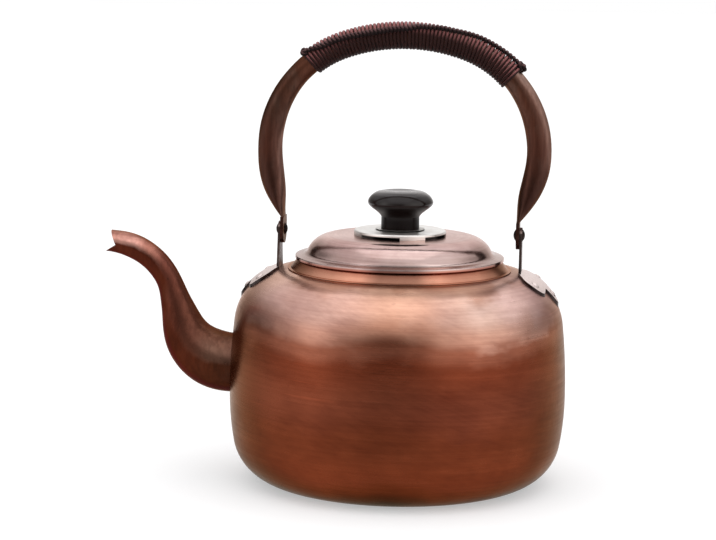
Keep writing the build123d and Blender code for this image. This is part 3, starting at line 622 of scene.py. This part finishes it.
def makePatina(name, look):
    paint, tree, shader = startMaterial(
        name, Metallic=patinaWear["metallic"], Specular_Tint=look["edge"],
        Coat_Weight=look["coat"], Coat_Roughness=patinaWear["coatRough"])
    marks = patchesOf(tree, look, patinaWear["flatten"])
    drawn = useGroup(tree, drawnGrain, Fineness=look["fineness"], Run=look["run"])
    colour = colourByPlace(tree, look["axis"], look["stops"])
    colour = layOver(tree, marks["Clouds"], look["warmAmount"], colour, look["warm"])
    colour = layOver(tree, marks["Blots"], look["greyAmount"], colour, look["grey"])
    sideways = dim(tree, faceOf(tree, "X"), look["lean"][0])
    facing = mathNode(tree, "MULTIPLY_ADD", faceOf(tree, "Z"), look["lean"][1], sideways)
    clouds = mathNode(tree, "SUBTRACT", marks["Clouds"], 0.5)
    uneven = mathNode(tree, "MULTIPLY_ADD", clouds, patinaWear["ragged"], facing)
    # a painted highlight where the surface faces the lean
    paleHighlight = colourByPlace(tree, look["axis"], look["paleHighlight"])
    colour = blendColour(tree, rampOf(tree, uneven, look["facing"]), colour, paleHighlight)
    grain = drawn["Grain"]
    colour = layOver(tree, grain, look["grain"], colour, patinaWear["grainTint"], "MULTIPLY")
    colour = layOver(tree, marks["Specks"], patinaWear["specks"], colour, patinaWear["speckTint"])
    feed(tree, colour, shader.inputs["Base Color"])
    roughen(tree, shader, shareOf(tree, marks["Clouds"], grain, patinaWear["cloudRough"]), look)
    height = mathNode(tree, "ADD", dim(tree, grain, patinaWear["grainHeight"]), marks["Clouds"])
    addBump(tree, shader, height, look["dent"])
    return paint


# Polished hat

hatSteel = {
    "colour": (0.88, 0.85, 0.82), "smear": (0.72, 0.66, 0.62), "smears": 0.45,
    "size": 60.0, "seed": 31.0, "fineness": 2400.0, "run": 60.0,
    "lines": 0.2, "lineTint": (0.7, 0.7, 0.7),
    # inside is a painted shade for the hat's inner faces
    "inside": (0.030, 0.024, 0.022), "insideSpan": (-0.012, -0.004), "topShare": 0.02,
    "roughLow": 0.27, "roughHigh": 0.42, "dent": 0.00002,
}


def makePolishedSteel(look):
    paint, tree, shader = startMaterial("polishedSteel", Metallic=1.0)
    rings = useGroup(tree, spunLines, Fineness=look["fineness"], Run=look["run"])
    marks = patchesOf(tree, look)
    colour = layOver(tree, marks["Clouds"], look["smears"], look["colour"], look["smear"])
    colour = layOver(tree, rings["Lines"], look["lines"], colour, look["lineTint"], "MULTIPLY")
    # inside, where it faces its own middle, the hat is painted dark, a painted shade
    x, y, z = splitPlace(tree)
    outward = mathNode(tree, "MULTIPLY", faceOf(tree, "X"), x)
    outward = mathNode(tree, "MULTIPLY_ADD", faceOf(tree, "Y"), y, outward)
    outward = mathNode(tree, "ADD", outward, dim(tree, faceOf(tree, "Z"), look["topShare"]))
    inside = spreadOf(tree, outward, *look["insideSpan"], 1.0, 0.0)
    colour = blendColour(tree, inside, colour, look["inside"])
    feed(tree, colour, shader.inputs["Base Color"])
    roughen(tree, shader, marks["Clouds"], look)
    addBump(tree, shader, rings["Lines"], look["dent"])
    return paint


# Moulded knob

knobLook = {
    "colour": (0.005, 0.0022, 0.0020), "dust": (0.018, 0.011, 0.010),
    "cloudDust": 0.25, "speckDust": 0.30, "size": 55.0, "seed": 41.0,
    # the shine by height: worn off the foot, strongest on the crown that the fingers hold
    "shine": (
        (0.1515, 0.02), (0.156, 0.05), (0.159, 0.20), (0.162, 0.26), (0.1645, 0.12),
        (0.168, 0.62), (0.171, 0.42), (0.1725, 0.80),
    ),
    "shineTint": (1.0, 0.84, 0.82), "shineRough": 0.09, "specular": 0.06,
    "roughLow": 0.30, "roughHigh": 0.42, "pores": (1400.0, 2.0), "dent": 0.00003,
}


def makeMouldedBlack(look):
    paint, tree, shader = startMaterial(
        "mouldedBlack", Specular_IOR_Level=look["specular"],
        Coat_Roughness=look["shineRough"], Coat_Tint=look["shineTint"])
    feed(tree, colourByPlace(tree, "Z", look["shine"]), shader.inputs["Coat Weight"])
    marks = patchesOf(tree, look)
    dust = mathNode(tree, "ADD", dim(tree, marks["Clouds"], look["cloudDust"]),
                    dim(tree, marks["Specks"], look["speckDust"]))
    feed(tree, blendColour(tree, dust, look["colour"], look["dust"]), shader.inputs["Base Color"])
    roughen(tree, shader, marks["Clouds"], look)
    addBump(tree, shader, noiseOf(tree, placeOf(tree), *look["pores"]), look["dent"])
    return paint


# Washer under the knob: black, with its top painted bright and made metal, a painted reflection

washerLook = {
    "colour": (0.004, 0.003, 0.003), "paintedTopReflection": (0.60, 0.57, 0.54), "paintedTopSpan": (0.6, 0.9),
    "size": 90.0, "seed": 61.0, "specular": 0.1, "roughLow": 0.30, "roughHigh": 0.45, "dent": 0.00004,
}


def makeWasherBlack(look):
    paint, tree, shader = startMaterial("washerBlack", Specular_IOR_Level=look["specular"])
    marks = patchesOf(tree, look)
    # a painted reflection on the top face
    upward = spreadOf(tree, faceOf(tree, "Z"), *look["paintedTopSpan"])
    feed(tree, blendColour(tree, upward, look["colour"], look["paintedTopReflection"]), shader.inputs["Base Color"])
    feed(tree, upward, shader.inputs["Metallic"])
    roughen(tree, shader, marks["Clouds"], look)
    addBump(tree, shader, marks["Specks"], look["dent"])
    return paint


# Brass of the whistle and the insert, and the plated screw

turnedSurface = {
    "size": 70.0, "seed": 51.0, "fineness": 1800.0, "run": 30.0, "tarnishAmount": 0.6,
    "lines": 0.3, "lineTint": (0.6, 0.6, 0.6), "roughLow": 0.22, "roughHigh": 0.42, "dent": 0.00003,
}
brassLook = {"colour": (0.70, 0.54, 0.28), "tarnish": (0.36, 0.24, 0.11), **turnedSurface}
screwLook = {"colour": (0.62, 0.61, 0.60), "tarnish": (0.34, 0.32, 0.30), **turnedSurface}


def makeTurnedMetal(name, look):
    paint, tree, shader = startMaterial(name, Metallic=1.0)
    rings = useGroup(tree, spunLines, Fineness=look["fineness"], Run=look["run"])
    marks = patchesOf(tree, look)
    colour = layOver(tree, marks["Clouds"], look["tarnishAmount"], look["colour"], look["tarnish"])
    colour = layOver(tree, rings["Lines"], look["lines"], colour, look["lineTint"], "MULTIPLY")
    feed(tree, colour, shader.inputs["Base Color"])
    roughen(tree, shader, marks["Clouds"], look)
    addBump(tree, shader, rings["Lines"], look["dent"])
    return paint


finishes = (
    (makeSpunCopper("bodyCopper", bodyCopper), ("body_shell",)),
    (makeSpunCopper("bandCopper", bandCopper), ("neck_collar",)),
    (makeSpunCopper("lidCopper", lidCopper), ("lid_shell", "lid_skirt")),
    (makePatina("spoutPatina", spoutPatina), ("spout",)),
    (makePatina("bailPatina", bailPatina), ("bail_tube",)),
    (makePatina("earSheet", earSheet),
     ("left_ear", "right_ear", "left_ear_rivets", "right_ear_rivets")),
    (makePatina("pivotDark", pivotDark), ("left_pivot_rivet", "right_pivot_rivet")),
    (makePolishedSteel(hatSteel), ("steam_hat",)),
    (makeMouldedBlack(knobLook), ("knob",)),
    (makeWasherBlack(washerLook), ("knob_washer",)),
    (makeTurnedMetal("turnedBrass", brassLook),
     ("whistle_cup", "whistle_lower_plate", "whistle_upper_plate", "knob_insert")),
    (makeTurnedMetal("platedScrew", screwLook), ("knob_screw",)),
)
for paint, names in finishes:
    for name in names:
        for slot in nodes[name].material_slots:
            slot.material = paint
print("kettle: finishes on", sum(len(names) for paint, names in finishes), "nodes")


# Cord wound grip, in place of the open turns of the frame

grip = {
    # the bail's middle line: half its width, the heights of its sides and top, and the degrees that
    # its crown turns before the tighter sides take over
    "halfWide": 0.07952, "sideHeight": 0.1980, "topHeight": 0.2653, "crownTurn": 19.6,
    "setOver": 0.0015, "tube": 0.0063,
    "cord": 0.0019, "cordSwell": 1.10, "air": 0.00002,
    "left": 0.0590, "right": 0.0695, "turns": 59, "pointsPerTurn": 24,
    "wobbles": ((0.00006, 0.37), (0.00005, 0.113)),     # metres, and radians from point to point
    # how far the ridge leans to the front, in degrees, by its place along the grip
    "ridgeTurns": (
        (-0.059, 34.0), (-0.047, 58.0), (-0.020, 66.0), (0.000, 60.0), (0.010, 45.0),
        (0.023, 36.0), (0.046, 18.0), (0.070, 5.0),
    ),
    "ridgeCord": 0.0020, "ridgeSwing": 0.0015, "ridgeLift": 0.0002,
    # one hitch: how far it swings across the ridge, as a share, and how far it lifts
    "hitch": ((-1.0, 0.0), (-0.25, 0.0010), (0.6, 0.0011), (1.0, 0.0001)),
}
knot = {
    "turns": 2, "pointsPerTurn": 20, "lobe": 0.42, "lobesPerTurn": 1.5,
    "long": 0.9, "high": 0.45, "lift": 0.0006, "cordSwell": 1.1,
    # each end's piece, its place along the grip, the degrees that it lies to the front, and its size
    "ends": (("leftTie", -0.0582, 34.0, 0.0015), ("rightTie", 0.0675, 5.0, 0.0022)),
}
curveSteps = {"along": 3, "around": 2}


def gripArcs():
    # the radii of the crown and the sides of the bail's middle line, which meet smoothly
    crown = radians(grip["crownTurn"])
    rise = grip["topHeight"] - grip["sideHeight"]
    split = sin(crown) * cos(crown) - (1 - sin(crown)) * (1 - cos(crown))
    crownR = (grip["halfWide"] * cos(crown) - rise * (1 - sin(crown))) / split
    sideR = (rise * sin(crown) - grip["halfWide"] * (1 - cos(crown))) / split
    return crown, crownR, sideR


crownTurn, crownR, sideR = gripArcs()


def gripPoint(length, around, out):
    # a place beside the bail's middle line: around is from its outer side towards the front
    way = 1 if length >= 0 else -1
    reach = abs(length)
    turn = min(reach / crownR, crownTurn)
    x = crownR * sin(turn)
    z = grip["topHeight"] - crownR * (1 - cos(turn))
    if reach > crownR * crownTurn:
        turn = crownTurn + (reach - crownR * crownTurn) / sideR
        x = x + sideR * (sin(turn) - sin(crownTurn))
        z = z - sideR * (cos(crownTurn) - cos(turn))
    lift = out * cos(around)
    across = way * (x + lift * sin(turn)) + grip["setOver"]
    return Vector((across, -out * sin(around), z + lift * cos(turn)))


def cordPiece(name, points, thickness):
    bpy.ops.object.select_all(action="DESELECT")
    bpy.ops.curve.primitive_nurbs_path_add()
    piece = bpy.context.object
    piece.name = name
    shape = piece.data
    shape.splines.clear()
    spline = shape.splines.new("NURBS")
    spline.points.add(len(points) - 1)
    for spot, point in zip(spline.points, points):
        spot.co = (*point, 1)
    spline.order_u = 3
    spline.use_endpoint_u = True
    spline.resolution_u = curveSteps["along"]
    shape.bevel_depth = thickness / 2
    shape.bevel_resolution = curveSteps["around"]
    shape.use_fill_caps = True
    bpy.ops.object.convert(target="MESH")
    bpy.ops.object.mode_set(mode="EDIT")
    bpy.ops.mesh.select_all(action="SELECT")
    bpy.ops.mesh.normals_make_consistent(inside=False)
    bpy.ops.object.mode_set(mode="OBJECT")
    bpy.ops.object.shade_smooth()
    return piece


def easedTable(table, spot):
    # a value between the table's places, eased into each
    for (lowSpot, lowValue), (highSpot, highValue) in zip(table, table[1:]):
        if spot <= highSpot:
            share = min(max((spot - lowSpot) / (highSpot - lowSpot), 0), 1)
            share = share * share * (3 - 2 * share)
            return lowValue + (highValue - lowValue) * share
    return table[-1][1]


def windGrip():
    span = grip["left"] + grip["right"]
    count = grip["turns"] * grip["pointsPerTurn"]
    out = grip["tube"] + grip["air"] + grip["cord"] / 2
    path = []
    for step in range(count + 1):
        share = step / count
        wobble = sum(size * sin(step * pace) for size, pace in grip["wobbles"])
        length = -grip["left"] + span * share + wobble
        path.append(gripPoint(length, 2 * pi * share * grip["turns"], out))
    return cordPiece("gripWinding", path, grip["cord"] * grip["cordSwell"])


def plaitRidge():
    # each turn is hitched over the last, which leaves a raised zigzag along the grip
    span = grip["left"] + grip["right"]
    out = grip["tube"] + grip["cord"] + grip["ridgeLift"]
    path = []
    for turn in range(grip["turns"]):
        for part, (swing, lift) in enumerate(grip["hitch"]):
            share = (turn + part / len(grip["hitch"])) / grip["turns"]
            length = -grip["left"] + span * share
            around = radians(easedTable(grip["ridgeTurns"], length))
            around = around + swing * grip["ridgeSwing"] / out
            path.append(gripPoint(length, around, out + lift))
    return cordPiece("gripRidge", path, grip["ridgeCord"])


def tieEnd(name, length, leaning, size):
    # the cord's end, knotted over the last turns
    out = grip["tube"] + grip["cord"] + knot["lift"]
    around = radians(leaning)
    nearby = 0.001
    middle = gripPoint(length, around, out)
    ahead = (gripPoint(length + nearby, around, out) - middle).normalized()
    up = (gripPoint(length, around, out + nearby) - middle).normalized()
    side = ahead.cross(up)
    path = []
    for step in range(knot["turns"] * knot["pointsPerTurn"] + 1):
        turn = 2 * pi * step / knot["pointsPerTurn"]
        lobe = knot["lobesPerTurn"] * turn
        reach = size * (1 + knot["lobe"] * cos(lobe))
        spot = middle + ahead * reach * cos(turn) * knot["long"] + side * reach * sin(turn)
        path.append(spot + up * knot["high"] * size * sin(lobe))
    return cordPiece(name, path, grip["ridgeCord"] * knot["cordSwell"])


# the deep colour lies in the grooves between the twisted strands, a painted shade; the two lighter
# ones are a painted highlight where the cord faces up
cordLook = {
    "deep": (0.006, 0.0012, 0.0008), "face": (0.030, 0.0066, 0.0046), "fuzz": (0.066, 0.021, 0.016),
    "highlitDeep": (0.125, 0.036, 0.034), "highlitFace": (0.430, 0.170, 0.165),
}
# the ridge is the same cord painted darker, a painted shade, with a painted highlight on its crowns
# only where it faces straight up
shadedRidgeLook = {
    "deep": (0.003, 0.0010, 0.0009), "face": (0.012, 0.0036, 0.0032), "fuzz": (0.030, 0.012, 0.011),
    "highlitDeep": (0.024, 0.009, 0.009), "highlitFace": (0.170, 0.080, 0.080),
}
# the cloth that both are of, painted lighter where it faces up, a painted highlight
cordCloth = {
    "strands": {"Scale": 520.0, "Distortion": 2.2, "Detail": 2.0, "Detail Scale": 1.5},
    "strandSpan": (0.15, 0.85), "fibres": (900.0, 4.0), "fuzzSpan": (0.52, 0.78), "fuzzMost": 0.5,
    "highlitSpan": (0.12, 0.80), "fibreHeight": 0.5, "dent": 0.00012, "dentStrength": 0.7,
    "rough": 0.6, "specular": 0.15, "sheen": 0.03, "sheenTint": (0.85, 0.60, 0.64),
}


def makeCordFinish(name, look):
    paint, tree, shader = startMaterial(
        name, Roughness=cordCloth["rough"], Specular_IOR_Level=cordCloth["specular"],
        Sheen_Weight=cordCloth["sheen"], Sheen_Tint=cordCloth["sheenTint"])
    strands = addNode(tree, "ShaderNodeTexWave", wave_type="BANDS", bands_direction="DIAGONAL")
    for label, value in cordCloth["strands"].items():
        strands.inputs[label].default_value = value
    feed(tree, placeOf(tree), strands.inputs["Vector"])
    fibres = noiseOf(tree, placeOf(tree), *cordCloth["fibres"])
    twisted = spreadOf(tree, strands.outputs["Fac"], *cordCloth["strandSpan"])
    fuzzy = spreadOf(tree, fibres, *cordCloth["fuzzSpan"], 0.0, cordCloth["fuzzMost"])
    # painted shade in the grooves between the strands
    colour = blendColour(tree, twisted, look["deep"], look["face"])
    colour = blendColour(tree, fuzzy, colour, look["fuzz"])
    # painted highlight where the cord faces up
    highlitFace = blendColour(tree, twisted, look["highlitDeep"], look["highlitFace"])
    upward = spreadOf(tree, faceOf(tree, "Z"), *cordCloth["highlitSpan"])
    feed(tree, blendColour(tree, upward, colour, highlitFace), shader.inputs["Base Color"])
    fibreHeight = dim(tree, fibres, cordCloth["fibreHeight"])
    height = mathNode(tree, "ADD", strands.outputs["Fac"], fibreHeight)
    addBump(tree, shader, height, cordCloth["dent"], cordCloth["dentStrength"])
    return paint


cordFinish = makeCordFinish("maroonCord", cordLook)
# the ridge and the tied ends take a darker copy of the cord, a painted shade
shadedRidgeFinish = makeCordFinish("maroonRidgePaintedShade", shadedRidgeLook)
gripPieces = [(windGrip(), cordFinish), (plaitRidge(), shadedRidgeFinish)]
gripPieces += [(tieEnd(*end), shadedRidgeFinish) for end in knot["ends"]]
for piece, finish in gripPieces:
    piece.data.materials.clear()
    piece.data.materials.append(finish)
    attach(piece, "bail")
    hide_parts("grip_cord")
print("kettle: grip wound with", grip["turns"], "turns")

print("kettle: done")
